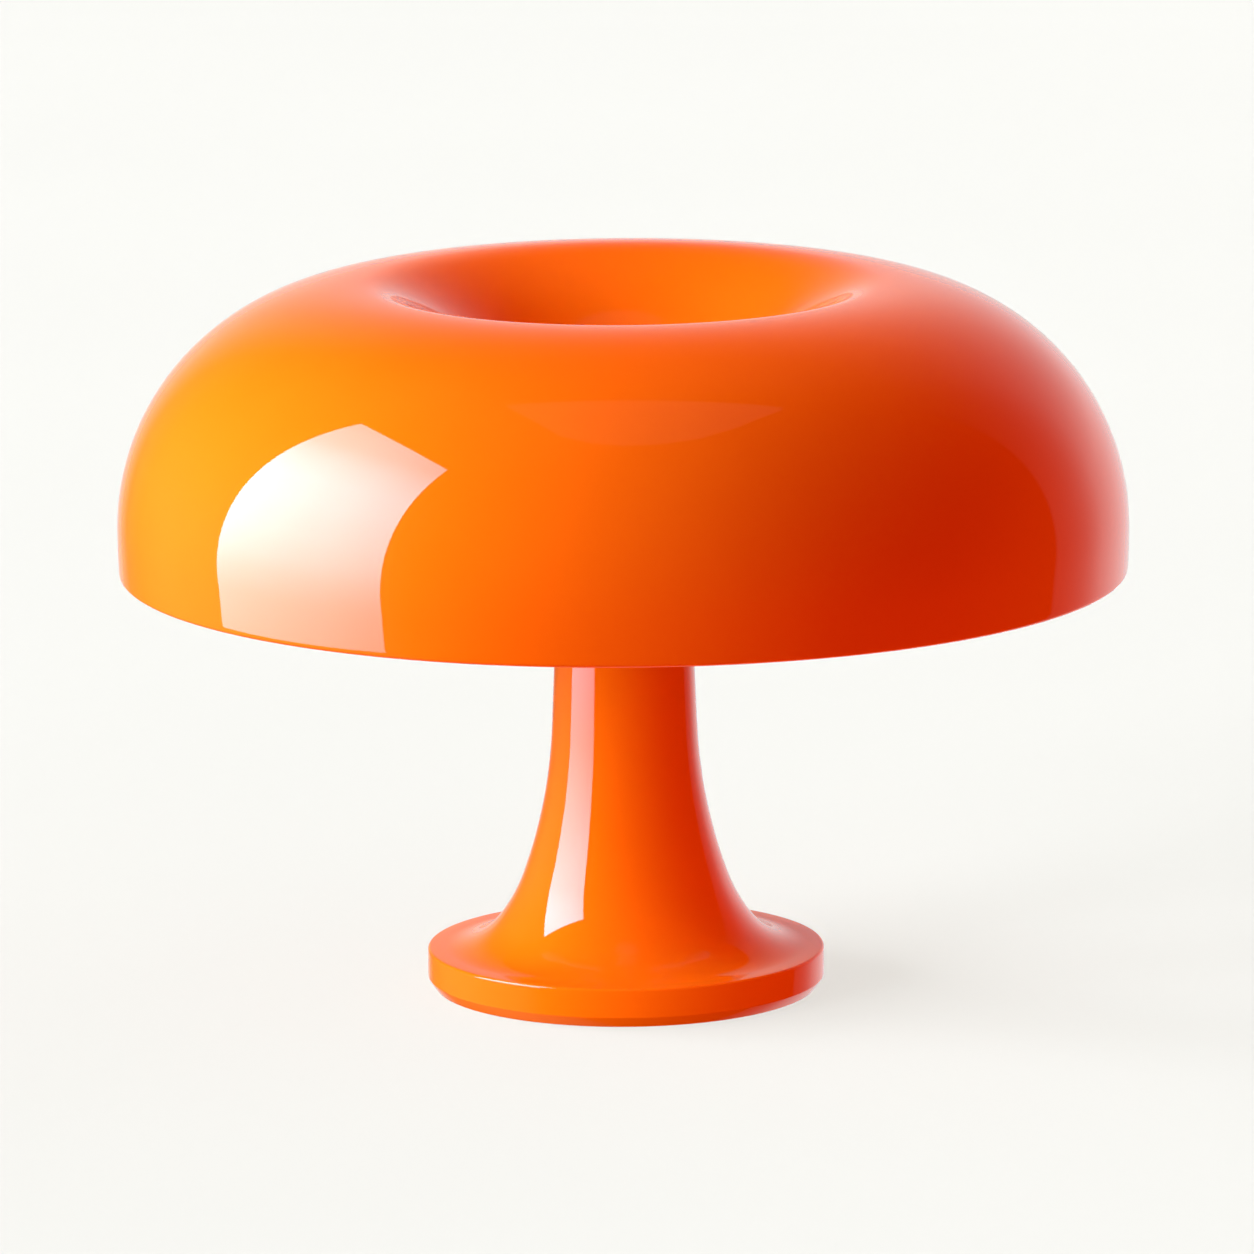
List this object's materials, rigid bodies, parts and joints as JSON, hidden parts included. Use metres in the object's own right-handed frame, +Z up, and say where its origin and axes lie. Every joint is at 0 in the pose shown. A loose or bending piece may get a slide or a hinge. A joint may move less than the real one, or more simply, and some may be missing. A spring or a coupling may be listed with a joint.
{
  "type": "mushroom table lamp",
  "caption": "Mushroom table lamp: glossy ring-shaped dome shade with a central funnel, on a flared stem and round base.",
  "frame": {"origin": "on the table, under the centre of the stem", "axes": "+Z up along the stem, +Y towards the rear, where the cord leaves the base"},
  "size_m": [0.32, 0.32, 0.227],
  "materials": {
    "shade_plastic": "very glossy opaque orange moulding",
    "stem_plastic": "very glossy opaque orange moulding",
    "cap_plastic": "glossy orange moulding",
    "plate_steel": "black powder coat",
    "screw_steel": "zinc-plated",
    "foot_rubber": "matt black rubber",
    "ballast_iron": "raw casting",
    "gland_rubber": "soft black",
    "seat_silicone": "translucent grey silicone",
    "block_plastic": "white moulding",
    "terminal_brass": "plain brass",
    "saddle_plastic": "black moulding",
    "nut_steel": "yellow zinc",
    "holder_plastic": "white thermoset",
    "sleeve_brass": "drawn brass",
    "contact_brass": "sprung brass",
    "bulb_glass": "frosted opal glass",
    "bulb_metal": "bright thin metal",
    "bulb_vitrite": "black glass",
    "bulb_solder": "dull solder",
    "lead_sheath": "white sheath"
  },
  "bodies": {
    "stand": {"ballast_ring": "ballast_iron", "base_plate": "plate_steel", "base_screws": "screw_steel", "block_screw": "screw_steel", "cord_gland": "gland_rubber", "foot_ring": "foot_rubber", "holder_cap_1": "holder_plastic", "holder_cap_2": "holder_plastic", "holder_cap_3": "holder_plastic", "holder_cap_4": "holder_plastic", "holder_contact_1": "contact_brass", "holder_contact_2": "contact_brass", "holder_contact_3": "contact_brass", "holder_contact_4": "contact_brass", "holder_lead_1": "lead_sheath", "holder_lead_2": "lead_sheath", "holder_lead_3": "lead_sheath", "holder_lead_4": "lead_sheath", "holder_nipples": "nut_steel", "holder_nuts": "nut_steel", "holder_shell_1": "holder_plastic", "holder_shell_2": "holder_plastic", "holder_shell_3": "holder_plastic", "holder_shell_4": "holder_plastic", "holder_sleeve_1": "sleeve_brass", "holder_sleeve_2": "sleeve_brass", "holder_sleeve_3": "sleeve_brass", "holder_sleeve_4": "sleeve_brass", "inner_saddles": "saddle_plastic", "outer_saddles": "saddle_plastic", "seat_ring": "seat_silicone", "stem_base": "stem_plastic", "stem_cap": "cap_plastic", "terminal_block": "block_plastic", "terminal_screws": "terminal_brass"},
    "shade_body": {"shade": "shade_plastic"},
    "bulb_1": {"bulb_cap_1": "bulb_metal", "bulb_contact_1": "bulb_solder", "bulb_glass_1": "bulb_glass", "bulb_insulator_1": "bulb_vitrite"},
    "bulb_2": {"bulb_cap_2": "bulb_metal", "bulb_contact_2": "bulb_solder", "bulb_glass_2": "bulb_glass", "bulb_insulator_2": "bulb_vitrite"},
    "bulb_3": {"bulb_cap_3": "bulb_metal", "bulb_contact_3": "bulb_solder", "bulb_glass_3": "bulb_glass", "bulb_insulator_3": "bulb_vitrite"},
    "bulb_4": {"bulb_cap_4": "bulb_metal", "bulb_contact_4": "bulb_solder", "bulb_glass_4": "bulb_glass", "bulb_insulator_4": "bulb_vitrite"}
  },
  "joints": [
    {"name": "shade_lift", "type": "slide", "parent": "stand", "child": "shade_body", "axis": [0, 0, 1], "range_m": [0, 0.06]},
    {"name": "bulb_draw_1", "type": "slide", "parent": "stand", "child": "bulb_1", "axis": [1, 0, 0], "range_m": [0, 0.027]},
    {"name": "bulb_draw_2", "type": "slide", "parent": "stand", "child": "bulb_2", "axis": [0, 1, 0], "range_m": [0, 0.027]},
    {"name": "bulb_draw_3", "type": "slide", "parent": "stand", "child": "bulb_3", "axis": [-1, 0, 0], "range_m": [0, 0.027]},
    {"name": "bulb_draw_4", "type": "slide", "parent": "stand", "child": "bulb_4", "axis": [0, -1, 0], "range_m": [0, 0.027]}
  ]
}
